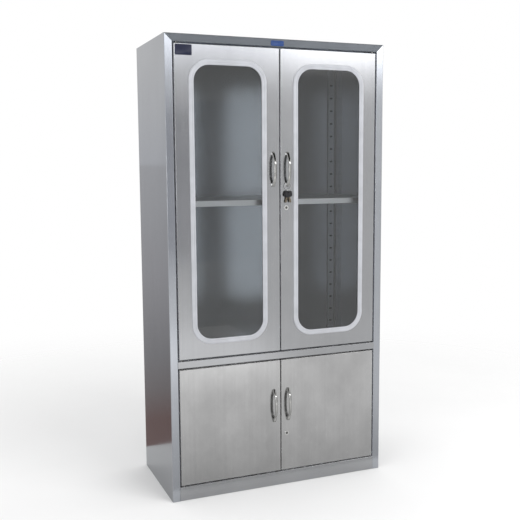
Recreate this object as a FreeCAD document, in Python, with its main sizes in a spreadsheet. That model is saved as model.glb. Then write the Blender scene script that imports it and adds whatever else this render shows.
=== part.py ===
import FreeCAD, Part
import math
import os
import Sketcher
from FreeCAD import Vector

# Instrument cabinet in millimetres: X to the right, Y to the back, Z up.
# The origin lies on the floor, under the middle of the cabinet with its handles.

DIMENSIONS = (
    # Carcass
    ("width", 900, "outside width"),
    ("depth", 420, "front plane to back"),
    ("height", 1750, "floor to top"),
    ("sheet", 1, "thickness of the steel sheet"),
    ("bend", 1, "inside radius of a fold"),
    ("stile", 30, "face of the side panel's front fold"),
    ("top_rail", 29, "face of the top panel's front fold"),
    ("mid_rail", 28, "face of the rail between the doors"),
    ("bottom_rail", 55, "face of the rail under the lower doors"),
    ("lower_door_height", 453, "lower door, edge to edge"),
    ("rear_flange", 15, "side panel's fold behind the back panel"),
    ("stile_lip", 12, "fold that closes the stile at its back"),
    ("foot_flange", 25, "folds that stand on the floor"),
    ("stop_lip", 15, "lip that the door closes against"),
    ("stop_lip_inset", 45, "length of lip left out beside each hinge"),
    ("stop_gap", 2, "door's back to the stop lip"),
    ("deck_drop", 10, "middle deck below the top of its rail"),
    ("deck_flange", 18, "middle deck's fold against the back panel"),
    ("buffer_radius", 5, "rubber door buffer"),
    ("buffer_offset", 160, "buffer from the middle of the cabinet"),
    # Doors
    ("door_gap", 5, "door to frame"),
    ("centre_gap", 4, "door to door"),
    ("door_thickness", 20, "front skin to back lip"),
    ("door_lip", 14, "width of the back lip"),
    ("hat_width", 60, "stiffener's web"),
    ("hat_flange", 14, "stiffener's side flange"),
    ("hat_height", 14, "stiffener's height"),
    # Pivots
    ("pivot_inset", 12, "pin's axis from the door's hinge edge"),
    ("pin_radius", 4, "hinge pin"),
    ("pin_engage", 12, "pin's reach into the door"),
    ("pin_head_radius", 7, "pin's head behind the frame sheet"),
    ("pin_head", 2, "thickness of the pin's head"),
    ("bush_clear", 0.06, "running clearance on the pin"),
    ("bush_radius", 6, "bush sleeve"),
    ("bush_flange_radius", 8, "bush flange"),
    ("bush_length", 14, "bush sleeve inside the door"),
    ("bush_flange", 2, "flange of an upper bush"),
    ("seat_clear", 0.3, "running gap between flat or seated faces"),
    ("hole_clear", 0.1, "radial room of a fixed pin or screw in its hole"),
    # Windows
    ("window_margin", 53, "door's edge to the gasket"),
    ("gasket_width", 20, "gasket, seen from the front"),
    ("gasket_corner", 80, "outside corner radius of the gasket"),
    ("gasket_web", 2, "rubber between sheet and glass"),
    ("gasket_proud", 3.5, "gasket in front of the door"),
    ("gasket_behind", 4.5, "gasket behind the door skin"),
    ("gasket_edge", 1.2, "slope along the gasket's front edges"),
    ("glass_sheet", 5, "glass thickness"),
    ("glass_forward", 1.5, "glass in front of the door's face"),
    # Handles
    ("handle_length", 133, "bow handle over its feet"),
    ("handle_reach", 28, "handle in front of the door"),
    ("handle_bar", 62, "straight middle of the handle, outside"),
    ("handle_grip", 59, "straight middle of the handle, inside"),
    ("handle_width", 13, "handle, seen from the front"),
    ("handle_thickness", 8, "middle of the handle, seen from the side"),
    ("handle_foot", 13, "height of a foot"),
    ("handle_stub", 6, "straight start of an arm"),
    ("handle_bend", 5, "radius of the handle's bends"),
    ("handle_edge", 1.8, "slope along the handle's edges"),
    ("handle_inset", 28, "handle from the door's meeting edge"),
    ("upper_handle_rise", 711, "handle's middle above the upper door's lower edge"),
    ("lower_handle_rise", 271, "handle's middle above the lower door's lower edge"),
    ("screw_radius", 2, "handle screw"),
    ("screw_depth", 5, "handle screw in the foot"),
    ("screw_head_radius", 4, "screw head"),
    ("screw_head", 2.2, "height of the screw head"),
    # Locks
    ("lock_inset", 23, "lock from the right door's meeting edge"),
    ("upper_lock_rise", 563, "lock above the upper door's lower edge"),
    ("lower_lock_rise", 152, "lock above the lower door's lower edge"),
    ("lock_face_radius", 9, "lock's face ring"),
    ("lock_face", 2, "face ring in front of the door"),
    ("lock_barrel_radius", 7, "lock's body through the door"),
    ("plug_radius", 5, "turning plug"),
    ("plug_clear", 0.08, "running clearance of the plug"),
    ("plug_recess", 0.4, "plug's face behind the ring's face"),
    ("keyway_width", 1.6, "slot for the key"),
    ("keyway_height", 7, "slot for the key"),
    ("keyway_depth", 12, "slot for the key"),
    ("nut_flats", 19, "lock nut across its flats"),
    ("nut_height", 3, "lock nut"),
    ("cam_gap", 1, "door's back lip to the cam"),
    ("cam_sheet", 2, "cam plate"),
    ("cam_width", 14, "cam plate"),
    ("cam_reach", 40, "plug's axis to the cam's tip"),
    ("cam_square", 6, "square end of the plug in the cam"),
    ("cam_screw_radius", 4.5, "head of the cam screw"),
    ("cam_screw_head", 2.5, "head of the cam screw"),
    ("cam_screw_edge", 1.2, "slope round the cam screw's head"),
    # Bolts of the left doors
    ("bolt_radius", 4, "sliding bolt"),
    ("bolt_length", 110, "sliding bolt"),
    ("bolt_edge", 2, "slope round the bolt's end"),
    ("bolt_free", 1.5, "drawn bolt to the edge that it passes"),
    ("bolt_gap", 1, "bolt behind the stop lip"),
    ("bolt_inset", 9, "bolt's axis from the door's meeting edge"),
    ("bolt_fit", 0.08, "running clearance of the bolt"),
    ("guide_width", 14, "bolt guide"),
    ("guide_height", 12, "bolt guide"),
    ("guide_wall", 2.5, "guide behind the bolt"),
    ("guide_round", 5, "guide's rounded back"),
    ("guide_end", 22, "bolt's end to the middle of its guide"),
    ("knob_radius", 4.5, "bolt's finger knob"),
    ("knob_length", 14, "bolt's finger knob"),
    # Shelf and its standards
    ("standard_width", 30, "slotted standard"),
    ("standard_depth", 7, "slotted standard in front of the wall"),
    ("standard_setback", 50, "front standard behind the front plane"),
    ("standard_inset", 5, "rear standard from the side wall"),
    ("slot_width", 12, "slot in a standard"),
    ("slot_height", 7, "slot in a standard"),
    ("slot_pitch", 56, "slot to slot"),
    ("first_slot", 29, "lowest slot's middle above the middle deck"),
    ("clip_sheet", 2.5, "shelf clip"),
    ("clip_width", 10, "shelf clip"),
    ("clip_ledge", 16, "clip's ledge under the shelf"),
    ("clip_drop", 9, "clip's hook and brace below the slot"),
    ("hook_gap", 0.2, "hook behind the standard's web"),
    ("shelf_setback", 36, "shelf behind the front plane"),
    ("shelf_height", 22, "shelf's folded edge"),
    ("shelf_lip", 12, "fold under the shelf's edge"),
    ("shelf_clear", 1.5, "shelf to the standards"),
    # Keys
    ("ring_radius", 14, "key ring, middle of its flat wire"),
    ("ring_wire", 0.8, "half the width of the ring's wire"),
    ("ring_stand", 2.3, "key ring in front of the door"),
    ("link_radius", 6.5, "small link, middle of its flat wire"),
    ("link_wire", 0.5, "half the width of the link's wire"),
    ("link_forward", 4.3, "link's middle in front of the ring"),
    ("link_clear", 0.1, "room between ring, link and key heads"),
    ("head_width", 30, "key head"),
    ("head_height", 24, "key head"),
    ("head_round", 9, "key head's corners"),
    ("head_sheet", 2.2, "key head"),
    ("head_hole", 2.5, "radius of the head's hole"),
    ("head_top", 5, "hole's middle below the head's top"),
    ("key_gap", 0.3, "head to head"),
    ("blade_width", 7, "key blade"),
    ("blade_sheet", 1.6, "key blade"),
    ("blade_length", 22, "key blade below its head"),
    ("blade_tip", 2.5, "slope at the blade's tip"),
    # Cutting
    ("overrun", 3, "how far a cut runs past the metal"),
)

SLOT_COUNT = 20
SHELF_SLOT = 10
KEY_FAN_DEGREES = 14
HEX_SIDES = 6
LEFT = -1
RIGHT = 1
SIDE_NAMES = {LEFT: "left", RIGHT: "right"}
TINY = 1e-9
SAME_POINT = 1e-7
SAME_WAY = 0.999

doc = FreeCAD.newDocument("InstrumentCabinet")
sheet = doc.addObject("Spreadsheet::Sheet", "Sizes")


class Size:
    """A length as an expression on the sheet's cells, with its value in millimetres."""

    def __init__(self, text, value):
        self.text = text
        self.value = value

    def joined(self, sign, other, value):
        return Size("(%s %s %s)" % (self.text, sign, as_size(other).text), value)

    def __add__(self, other):
        return self.joined("+", other, self.value + as_size(other).value)

    def __sub__(self, other):
        return self.joined("-", other, self.value - as_size(other).value)

    def __mul__(self, other):
        return self.joined("*", other, self.value * as_size(other).value)

    def __truediv__(self, other):
        return self.joined("/", other, self.value / as_size(other).value)

    def __neg__(self):
        return self * -1

    def root(self):
        return Size("sqrt(%s)" % self.text, math.sqrt(self.value))


def as_size(number):
    if isinstance(number, Size):
        return number
    return Size("(%r)" % number, number)


class Circle:
    """A full circle in a sketch."""

    def __init__(self, x, y, radius):
        self.x = x
        self.y = y
        self.radius = radius


def fill_sheet():
    sizes = {}
    for row, (alias, value, meaning) in enumerate(DIMENSIONS, start=1):
        sheet.set("A%d" % row, alias)
        sheet.set("B%d" % row, str(value))
        sheet.set("C%d" % row, meaning)
        sheet.setAlias("B%d" % row, alias)
        sizes[alias] = Size("Sizes.%s" % alias, float(value))
    doc.recompute()
    return sizes


class Sheet:
    """The sheet's cells by name."""

    def __init__(self, sizes):
        self.__dict__.update(sizes)


d = Sheet(fill_sheet())
ZERO = Size("0", 0.0)

# Levels and planes that several pieces share
half = d.width / 2
front = (d.handle_reach - d.depth) / 2
back = front + d.depth
back_inner = back - d.sheet * 2
wall = half - d.sheet
fold_radius = d.bend + d.sheet
door_back = front + d.door_thickness
stop_plane = door_back + d.stop_gap
opening_half = half - d.stile
mid_bottom = d.bottom_rail + d.lower_door_height + d.door_gap * 2
mid_top = mid_bottom + d.mid_rail
deck_top = mid_top - d.deck_drop
top_bottom = d.height - d.top_rail
door_outer = opening_half - d.door_gap
door_inner = d.centre_gap / 2
lower_door = (d.bottom_rail + d.door_gap, mid_bottom - d.door_gap)
upper_door = (mid_top + d.door_gap, top_bottom - d.door_gap)
pivot_x = door_outer - d.pivot_inset
pivot_y = front + d.door_thickness / 2
handle_x = door_inner + d.handle_inset
lock_x = door_inner + d.lock_inset
bolt_x = -(door_inner + d.bolt_inset)
bolt_y = stop_plane + d.sheet + d.bolt_gap + d.bolt_radius
standard_face = wall - d.standard_depth
slot_floor = deck_top + d.first_slot + d.slot_pitch * SHELF_SLOT - d.slot_height / 2
shelf_bottom = slot_floor + d.clip_sheet
shelf_top = shelf_bottom + d.shelf_height
shelf_half = standard_face - d.shelf_clear
shelf_front = front + d.shelf_setback
rear_standard_face = back_inner - d.standard_depth
shelf_back = rear_standard_face - d.shelf_clear
front_standard_y = front + d.standard_setback + d.standard_width / 2
rear_standard_x = wall - d.standard_inset - d.standard_width / 2

PLANE_SIGN = {"XY_Plane": 1, "XZ_Plane": -1, "YZ_Plane": 1}
parts = {}


def new_body(name):
    body = doc.addObject("PartDesign::Body", name)
    body.Label = name
    return body


def keep(name, thing):
    thing.Label = name
    parts[name] = thing


def group(name, members):
    compound = doc.addObject("Part::Compound", name)
    for number, member in enumerate(members, start=1):
        member.Label = "%s_%d" % (name, number)
    compound.Links = members
    keep(name, compound)


def sketch_on(body, plane, level):
    """A sketch on one of the body's own origin planes, moved along its axis to a level."""
    sketch = body.newObject("Sketcher::SketchObject", body.Name + "_outline")
    support = [item for item in body.Origin.OriginFeatures if item.Role == plane]
    sketch.AttachmentSupport = [(support[0], "")]
    sketch.MapMode = "FlatFace"
    sketch.setExpression("AttachmentOffset.Base.z", (level * PLANE_SIGN[plane]).text)
    return sketch


def direction(start, end):
    """Unit vector from one point to the next; its parts are plain 0, 1 or -1 along an axis."""
    run_x = end[0] - start[0]
    run_y = end[1] - start[1]
    if abs(run_y.value) < TINY:
        return (math.copysign(1, run_x.value), 0)
    if abs(run_x.value) < TINY:
        return (0, math.copysign(1, run_y.value))
    run = (run_x * run_x + run_y * run_y).root()
    return (run_x / run, run_y / run)


def plain(number):
    return as_size(number).value


def shifted(point, unit, amount):
    """A point moved along a unit vector; parts of the vector that are zero are left out."""
    moved = []
    for place, share in zip(point, unit):
        still = not isinstance(share, Size) and share == 0
        moved.append(place if still else place + amount * share)
    return tuple(moved)


def rounded(corners, closed=True):
    """Points and arcs of an outline whose corners may carry a radius as a third value."""
    points = []
    arcs = {}
    count = len(corners)
    for index, corner in enumerate(corners):
        inside = closed or 0 < index < count - 1
        if len(corner) < 3 or not inside:
            points.append(corner[:2])
            continue
        arrive = direction(corners[index - 1], corner)
        leave = direction(corner, corners[(index + 1) % count])
        cross = plain(arrive[0]) * plain(leave[1]) - plain(arrive[1]) * plain(leave[0])
        radius = corner[2]
        tangent = radius
        if abs(abs(cross) - 1) > TINY:
            turn = as_size(arrive[0]) * leave[1] - as_size(arrive[1]) * leave[0]
            along = as_size(arrive[0]) * leave[0] + as_size(arrive[1]) * leave[1]
            tangent = radius * turn * math.copysign(1, cross) / (along + 1)
        arcs[len(points)] = (radius, math.copysign(1, cross))
        points.append(shifted(corner[:2], arrive, -tangent))
        points.append(shifted(corner[:2], leave, tangent))
    return points, arcs


def arc_geometry(start, end, radius, turn):
    middle = (start + end) / 2
    chord = end - start
    rise = math.sqrt(max(radius * radius - chord.Length * chord.Length / 4, 0))
    centre = middle + Vector(-chord.y, chord.x, 0).normalize() * (rise * turn)
    angles = [math.atan2(p.y - centre.y, p.x - centre.x) for p in (start, end)]
    if turn < 0:
        angles.reverse()
    if angles[1] < angles[0]:
        angles[1] += 2 * math.pi
    return Part.ArcOfCircle(Part.Circle(centre, Vector(0, 0, 1), radius), *angles)


def bind(sketch, limits):
    """Add constraints and bind each one that has a size to the sheet."""
    first = sketch.ConstraintCount
    sketch.addConstraint([limit for limit, size in limits])
    for index, (limit, size) in enumerate(limits):
        if size is not None:
            sketch.setExpression("Constraints[%d]" % (first + index), size.text)


def pin_point(geometry, position, place):
    """Constraints that hold one point of the sketch at its place."""
    limits = []
    for kind, size in zip(("DistanceX", "DistanceY"), place):
        limits.append((Sketcher.Constraint(kind, -1, 1, geometry, position, size.value), size))
    return limits


def draw_chain(sketch, corners, closed=True):
    """Draw lines and corner arcs through the corners."""
    points, arcs = rounded(corners, closed)
    vectors = [Vector(x.value, y.value, 0) for x, y in points]
    limits = []
    ends = []
    spans = len(points) if closed else len(points) - 1
    for index in range(spans):
        follow = (index + 1) % len(points)
        if index in arcs:
            radius, turn = arcs[index]
            shape = arc_geometry(vectors[index], vectors[follow], radius.value, turn)
            geometry = sketch.addGeometry(shape)
            positions = (1, 2) if turn > 0 else (2, 1)
            limits.append((Sketcher.Constraint("Radius", geometry, radius.value), radius))
        elif (vectors[follow] - vectors[index]).Length < SAME_POINT:
            continue
        else:
            geometry = sketch.addGeometry(Part.LineSegment(vectors[index], vectors[follow]))
            positions = (1, 2)
        ends.append((geometry, positions[0], positions[1]))
        limits += pin_point(geometry, positions[0], points[index])
    for index, (geometry, first, last) in enumerate(ends):
        if index + 1 < len(ends) or closed:
            follow = ends[(index + 1) % len(ends)]
            limits.append((Sketcher.Constraint("Coincident", geometry, last, follow[0], follow[1]), None))
        else:
            limits += pin_point(geometry, last, points[-1])
    bind(sketch, limits)


def draw(sketch, loop):
    if not isinstance(loop, Circle):
        draw_chain(sketch, loop)
        return
    centre = Vector(loop.x.value, loop.y.value, 0)
    geometry = sketch.addGeometry(Part.Circle(centre, Vector(0, 0, 1), loop.radius.value))
    limits = pin_point(geometry, 3, (loop.x, loop.y))
    limits.append((Sketcher.Constraint("Radius", geometry, loop.radius.value), loop.radius))
    bind(sketch, limits)


def extrude(kind, body, plane, start, end, loops):
    sketch = sketch_on(body, plane, start)
    for loop in loops:
        draw(sketch, loop)
    feature = body.newObject(kind, body.Name + "_" + kind.split("::")[1].lower())
    feature.Profile = sketch
    feature.setExpression("Length", (end - start).text)
    return feature


def add(body, plane, start, end, *loops):
    """Pad the loops from one level to a higher one along the plane's axis."""
    feature = extrude("PartDesign::Pad", body, plane, start, end, loops)
    feature.Reversed = PLANE_SIGN[plane] < 0
    return feature


def cut(body, plane, start, end, *loops):
    """Pocket the loops from one level to a higher one, and see that metal went away."""
    doc.recompute()
    before = body.Shape.Volume
    feature = extrude("PartDesign::Pocket", body, plane, start, end, loops)
    feature.Reversed = PLANE_SIGN[plane] > 0
    doc.recompute()
    if not body.Shape.Volume < before:
        raise RuntimeError("a cut in %s removed nothing" % body.Label)
    return feature


def soften_face(body, normal, kind, measure, size):
    """Round or slope every edge of the flat face that looks along a direction."""
    doc.recompute()
    base = body.Tip
    found = []
    for number, face in enumerate(base.Shape.Faces, start=1):
        if isinstance(face.Surface, Part.Plane) and face.normalAt(0, 0).dot(normal) > SAME_WAY:
            found.append((face.CenterOfMass.dot(normal), "Face%d" % number))
    softened = body.newObject("PartDesign::" + kind, body.Name + "_edges")
    softened.Base = (base, [max(found)[1]])
    softened.setExpression(measure, size.text)
    body.Tip = softened


def round_face(body, normal, radius):
    soften_face(body, normal, "Fillet", "Radius", radius)


def slope_face(body, normal, size):
    soften_face(body, normal, "Chamfer", "Size", size)


def box(x_low, y_low, x_high, y_high, radius=None):
    corners = [(x_low, y_low), (x_high, y_low), (x_high, y_high), (x_low, y_high)]
    if radius is None:
        return corners
    return [corner + (radius,) for corner in corners]


def mirrored(path, side):
    """A path drawn for the right side, turned over for the left one."""
    if side == RIGHT:
        return path
    return [(-point[0],) + tuple(point[1:]) for point in reversed(path)]


def folded(path, thickness, bend):
    """Outline of a sheet that lies on the left of a path of axis-parallel runs."""
    runs = [direction(a, b) for a, b in zip(path, path[1:])]
    near = []
    far = []
    for index, point in enumerate(path):
        around = runs[max(index - 1, 0):index + 1] if index < len(runs) else runs[-1:]
        offset = point
        for along, across in around:
            offset = shifted(offset, (-across, along), thickness)
        if len(around) < 2:
            near.append(point)
            far.append(offset)
            continue
        (ax, ay), (bx, by) = around
        outer = bend + thickness
        left_turn = ax * by - ay * bx > 0
        near.append(point + ((outer if left_turn else bend),))
        far.append(offset + ((bend if left_turn else outer),))
    return near + far[::-1]


def side_panel(side):
    name = "%s_side_panel" % SIDE_NAMES[side]
    body = new_body(name)
    path = [
        (opening_half + d.stile_lip, stop_plane),
        (opening_half, stop_plane),
        (opening_half, front),
        (half, front),
        (half, back),
        (half - d.rear_flange, back),
    ]
    outline = folded(mirrored(path, side), d.sheet, d.bend)
    add(body, "XY_Plane", ZERO, d.height - d.sheet, outline)
    mitre = [
        (half, d.height),
        (opening_half, top_bottom),
        (opening_half - d.overrun, top_bottom),
        (opening_half - d.overrun, d.height),
    ]
    cut(body, "XZ_Plane", front - d.overrun, stop_plane + d.overrun, mirrored(mitre, side))
    keep(name, body)


def pin_holes(body, low, high):
    for side in (LEFT, RIGHT):
        hole = Circle(pivot_x * side, pivot_y, d.pin_radius + d.hole_clear)
        cut(body, "XY_Plane", low - d.overrun, high + d.overrun, hole)


def clear_lip_ends(body, rail_bottom, lip_end_height):
    """Take the stop lip away beside the hinges, where the door's hinge edge swings past it."""
    lip_low = rail_bottom - d.stop_lip - d.overrun
    lip_far = stop_plane + d.sheet + d.overrun
    for side in (LEFT, RIGHT):
        swing = box(opening_half - d.stop_lip_inset, lip_low, opening_half, rail_bottom)
        cut(body, "XZ_Plane", stop_plane - d.overrun, lip_far, mirrored(swing, side))
        corner = box(opening_half, lip_low, half + d.overrun, lip_end_height)
        cut(body, "XZ_Plane", front - d.overrun, lip_far, mirrored(corner, side))


def top_panel():
    body = new_body("top_panel")
    path = [
        (back, d.height),
        (front, d.height),
        (front, top_bottom),
        (stop_plane, top_bottom),
        (stop_plane, top_bottom - d.stop_lip),
    ]
    add(body, "YZ_Plane", -half, half, folded(path, d.sheet, d.bend))
    clear_lip_ends(body, top_bottom, top_bottom)
    for side in (LEFT, RIGHT):
        mitre = [
            (half, d.height),
            (opening_half, top_bottom),
            (opening_half, top_bottom - d.overrun),
            (half + d.overrun, top_bottom - d.overrun),
            (half + d.overrun, d.height),
        ]
        lip_far = stop_plane + d.sheet + d.overrun
        cut(body, "XZ_Plane", front - d.overrun, lip_far, mirrored(mitre, side))
    pin_holes(body, top_bottom, top_bottom + d.sheet)
    keep("top_panel", body)


def middle_deck():
    body = new_body("middle_deck")
    path = [
        (back_inner, deck_top - d.deck_flange),
        (back_inner, deck_top),
        (stop_plane, deck_top),
        (stop_plane, mid_top),
        (front, mid_top),
        (front, mid_bottom),
        (stop_plane, mid_bottom),
        (stop_plane, mid_bottom - d.stop_lip),
    ]
    add(body, "YZ_Plane", -wall, wall, folded(path, d.sheet, d.bend))
    clear_lip_ends(body, mid_bottom, (mid_bottom + deck_top) / 2)
    for side in (LEFT, RIGHT):
        notch = box(opening_half, mid_bottom - d.overrun, half, mid_top + d.overrun)
        cut(body, "XZ_Plane", front - d.overrun, stop_plane, mirrored(notch, side))
    pin_holes(body, mid_top - d.sheet, mid_top)
    pin_holes(body, mid_bottom, mid_bottom + d.sheet)
    keep("middle_deck", body)


def bottom_deck():
    body = new_body("bottom_deck")
    path = [
        (back_inner - d.foot_flange, ZERO),
        (back_inner, ZERO),
        (back_inner, d.bottom_rail),
        (front, d.bottom_rail),
        (front, ZERO),
        (front + d.foot_flange, ZERO),
    ]
    add(body, "YZ_Plane", -wall, wall, folded(path, d.sheet, d.bend))
    for side in (LEFT, RIGHT):
        notch = box(opening_half, -d.overrun, half, d.bottom_rail + d.overrun)
        cut(body, "XZ_Plane", front - d.overrun, stop_plane, mirrored(notch, side))
    pin_holes(body, d.bottom_rail - d.sheet, d.bottom_rail)
    keep("bottom_deck", body)


def back_panel():
    body = new_body("back_panel")
    reach = wall - d.bend
    outline = box(-reach, ZERO, reach, d.height - d.sheet)
    add(body, "XZ_Plane", back_inner, back - d.sheet, outline)
    keep("back_panel", body)


def standard(name, path, slot_plane, slot_middle, levels):
    """Channel whose slotted web looks into the cabinet."""
    body = new_body(name)
    add(body, "XY_Plane", deck_top, d.height - d.sheet, folded(path, d.sheet, d.bend))
    first_level = deck_top + d.first_slot
    slot = box(
        slot_middle - d.slot_width / 2,
        first_level - d.slot_height / 2,
        slot_middle + d.slot_width / 2,
        first_level + d.slot_height / 2,
    )
    first = cut(body, slot_plane, levels[0], levels[1], slot)
    before = body.Shape.Volume
    row = body.newObject("PartDesign::LinearPattern", name + "_slots")
    row.Originals = [first]
    row.Direction = (first.Profile[0], ["V_Axis"])
    row.setExpression("Length", (d.slot_pitch * (SLOT_COUNT - 1)).text)
    row.Occurrences = SLOT_COUNT
    body.Tip = row
    doc.recompute()
    if not body.Shape.Volume < before:
        raise RuntimeError("the slots of %s repeat nothing" % name)
    keep(name, body)


def standards(side):
    """The front standard stands on the side wall, the rear one on the back panel."""
    near = front_standard_y - d.standard_width / 2
    far = front_standard_y + d.standard_width / 2
    path = [(wall, far), (standard_face, far), (standard_face, near), (wall, near)]
    levels = (standard_face - d.overrun, standard_face + d.sheet * 2)
    if side == LEFT:
        levels = (-levels[1], -levels[0])
    name = "front_%s_standard" % SIDE_NAMES[side]
    standard(name, mirrored(path, side), "YZ_Plane", front_standard_y, levels)
    inner = rear_standard_x - d.standard_width / 2
    outer = rear_standard_x + d.standard_width / 2
    path = [
        (inner, back_inner),
        (inner, rear_standard_face),
        (outer, rear_standard_face),
        (outer, back_inner),
    ]
    levels = (rear_standard_face - d.overrun, rear_standard_face + d.sheet * 2)
    name = "rear_%s_standard" % SIDE_NAMES[side]
    standard(name, mirrored(path, side), "XZ_Plane", rear_standard_x * side, levels)


def clip_profile(face):
    """A clip seen from its side: a hook behind the standard's web, a ledge and a brace."""
    hook_in = face + d.sheet + d.hook_gap
    hook_out = hook_in + d.clip_sheet
    low = slot_floor - d.clip_drop
    return [
        (hook_out, low),
        (hook_out, shelf_bottom),
        (face - d.clip_ledge, shelf_bottom),
        (face - d.clip_ledge, slot_floor),
        (face - d.clip_sheet, slot_floor),
        (face - d.clip_sheet, low),
        (face, low),
        (face, slot_floor),
        (hook_in, slot_floor),
        (hook_in, low),
    ]


def shelf_clips():
    clips = []
    for side in (LEFT, RIGHT):
        clip = new_body("front_shelf_clip")
        near = front_standard_y - d.clip_width / 2
        profile = mirrored(clip_profile(standard_face), side)
        add(clip, "XZ_Plane", near, near + d.clip_width, profile)
        clips.append(clip)
        clip = new_body("rear_shelf_clip")
        near = rear_standard_x * side - d.clip_width / 2
        add(clip, "YZ_Plane", near, near + d.clip_width, clip_profile(rear_standard_face))
        clips.append(clip)
    group("shelf_clips", clips)


def shelf():
    body = new_body("shelf")
    add(body, "XY_Plane", shelf_bottom, shelf_top, box(-shelf_half, shelf_front, shelf_half, shelf_back))
    round_face(body, Vector(0, 0, 1), fold_radius)
    inside = box(
        -shelf_half + d.sheet,
        shelf_front + d.sheet,
        shelf_half - d.sheet,
        shelf_back - d.sheet,
    )
    cut(body, "XY_Plane", shelf_bottom - d.overrun, shelf_top - d.sheet, inside)
    within = box(
        -shelf_half + d.shelf_lip,
        shelf_front + d.shelf_lip,
        shelf_half - d.shelf_lip,
        shelf_back - d.shelf_lip,
    )
    outer = box(-shelf_half, shelf_front, shelf_half, shelf_back)
    add(body, "XY_Plane", shelf_bottom, shelf_bottom + d.sheet, outer, within)
    keep("shelf", body)


def hat_path(middle, seat, away):
    """A hat channel's path, from flange to flange, standing off its seat by a signed height."""
    inner = d.hat_width / 2
    outer = inner + d.hat_flange
    return [
        (middle + outer, seat),
        (middle + inner, seat),
        (middle + inner, seat + away),
        (middle - inner, seat + away),
        (middle - inner, seat),
        (middle - outer, seat),
    ]


def shelf_stiffener():
    body = new_body("shelf_stiffener")
    path = hat_path((shelf_front + shelf_back) / 2, shelf_top - d.sheet, -d.hat_height)
    reach = shelf_half - d.sheet
    add(body, "YZ_Plane", -reach, reach, folded(path, d.sheet, d.bend))
    keep("shelf_stiffener", body)


def door_buffers():
    discs = []
    for rail_bottom in (mid_bottom, top_bottom):
        for side in (LEFT, RIGHT):
            disc = new_body("door_buffer")
            centre = Circle(d.buffer_offset * side, rail_bottom - d.stop_lip / 2, d.buffer_radius)
            add(disc, "XZ_Plane", door_back + d.seat_clear, stop_plane, centre)
            discs.append(disc)
    group("door_buffers", discs)


def hinge_pins():
    """Pins in the frame, each with its head on the far side of the frame's sheet."""
    seats = (
        (d.bottom_rail - d.sheet, lower_door[0] + d.pin_engage, False),
        (lower_door[1] - d.pin_engage, mid_bottom + d.sheet, True),
        (mid_top - d.sheet, upper_door[0] + d.pin_engage, False),
        (upper_door[1] - d.pin_engage, top_bottom + d.sheet, True),
    )
    pins = []
    for low, high, head_above in seats:
        for side in (LEFT, RIGHT):
            pin = new_body("hinge_pin")
            add(pin, "XY_Plane", low, high, Circle(pivot_x * side, pivot_y, d.pin_radius))
            head_low = high if head_above else low - d.pin_head
            head = Circle(pivot_x * side, pivot_y, d.pin_head_radius)
            add(pin, "XY_Plane", head_low, head_low + d.pin_head, head)
            pins.append(pin)
    group("hinge_pins", pins)


def window(side, inset):
    """The window's rounded outline, drawn in from the gasket's outer edge."""
    low, high = upper_door
    margin = d.window_margin + inset
    outline = box(
        door_inner + margin,
        low + margin,
        door_outer - margin,
        high - margin,
        d.gasket_corner - inset,
    )
    return mirrored(outline, side)


sheet_groove = (d.gasket_width - d.gasket_web) / 2


def door_pan(name, side, levels, glazed, screw_levels):
    """A door folded from one sheet: skin, four edges and back lips."""
    low, high = levels
    body = new_body(name)
    outer = mirrored(box(door_inner, low, door_outer, high), side)
    add(body, "XZ_Plane", front, door_back, outer)
    round_face(body, Vector(0, -1, 0), fold_radius)
    skin = front + d.sheet
    inside = box(door_inner + d.sheet, low + d.sheet, door_outer - d.sheet, high - d.sheet)
    cut(body, "XZ_Plane", skin, door_back + d.overrun, mirrored(inside, side))
    within = box(door_inner + d.door_lip, low + d.door_lip, door_outer - d.door_lip, high - d.door_lip)
    add(body, "XZ_Plane", door_back - d.sheet, door_back, outer, mirrored(within, side))
    if glazed:
        opening = window(side, sheet_groove - d.seat_clear)
        cut(body, "XZ_Plane", front - d.overrun, skin + d.overrun, opening)
    holes = [Circle(handle_x * side, level, d.screw_radius + d.hole_clear) for level in screw_levels]
    if side == RIGHT:
        rise = d.upper_lock_rise if glazed else d.lower_lock_rise
        holes.append(Circle(lock_x, low + rise, d.lock_barrel_radius + d.hole_clear))
    cut(body, "XZ_Plane", front - d.overrun, skin + d.overrun, *holes)
    for edge in (low, high - d.sheet):
        hole = Circle(pivot_x * side, pivot_y, d.bush_radius + d.hole_clear)
        cut(body, "XY_Plane", edge - d.overrun, edge + d.sheet + d.overrun, hole)
    keep(name, body)


def pivot_bushes(name, side, levels):
    """Nylon bushes: the lower one's flange fills the gap and carries the door."""
    low, high = levels
    bore = d.pin_radius + d.bush_clear
    carry = d.door_gap - d.seat_clear
    places = (
        (low, low + d.bush_length, low - carry, low),
        (high - d.bush_length, high, high, high + d.bush_flange),
    )
    bushes = []
    for sleeve_low, sleeve_high, flange_low, flange_high in places:
        bush = new_body("pivot_bush")
        hole = Circle(pivot_x * side, pivot_y, bore)
        sleeve = Circle(pivot_x * side, pivot_y, d.bush_radius)
        flange = Circle(pivot_x * side, pivot_y, d.bush_flange_radius)
        add(bush, "XY_Plane", sleeve_low, sleeve_high, sleeve, hole)
        add(bush, "XY_Plane", flange_low, flange_high, flange, hole)
        bushes.append(bush)
    group(name, bushes)


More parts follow.
